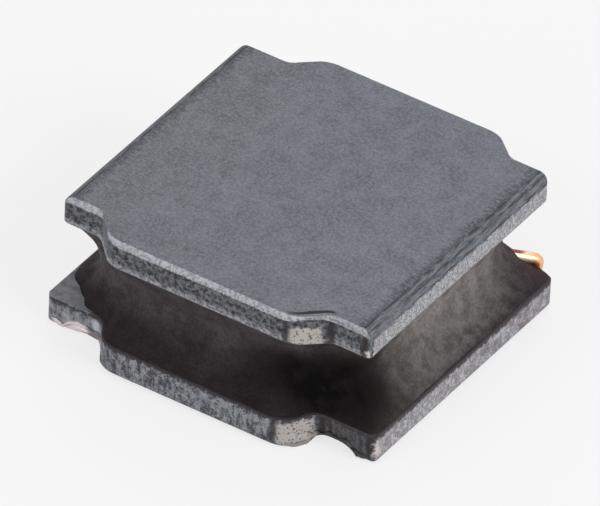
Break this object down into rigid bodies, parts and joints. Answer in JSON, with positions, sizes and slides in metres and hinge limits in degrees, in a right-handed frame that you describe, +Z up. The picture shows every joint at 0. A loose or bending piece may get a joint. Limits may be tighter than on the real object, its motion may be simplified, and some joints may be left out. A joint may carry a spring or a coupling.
{
  "type": "shielded smd inductor",
  "caption": "Square drum-core power inductor: notched ferrite flanges, a winding under a dished skin of magnetic resin, and tinned terminals under the base.",
  "frame": {"origin": "middle of the seating plane, under the terminals", "axes": "+Z up through the bare top face; the terminals run along Y at the -X and +X sides; both wire ends come down at the +Y side"},
  "size_m": [0.005, 0.005, 0.002],
  "materials": {
    "drum_core": "matte sintered ferrite",
    "winding": "enamelled copper wire",
    "magnetic_resin": "matte resin filled with magnetic powder",
    "terminal_left": "dull tin coating",
    "terminal_right": "dull tin coating",
    "solder_left": "smooth solder",
    "solder_right": "smooth solder"
  },
  "bodies": {
    "root": {"drum_core": "drum_core", "winding": "winding", "magnetic_resin": "magnetic_resin", "terminal_left": "terminal_left", "terminal_right": "terminal_right", "solder_left": "solder_left", "solder_right": "solder_right"}
  },
  "joints": []
}
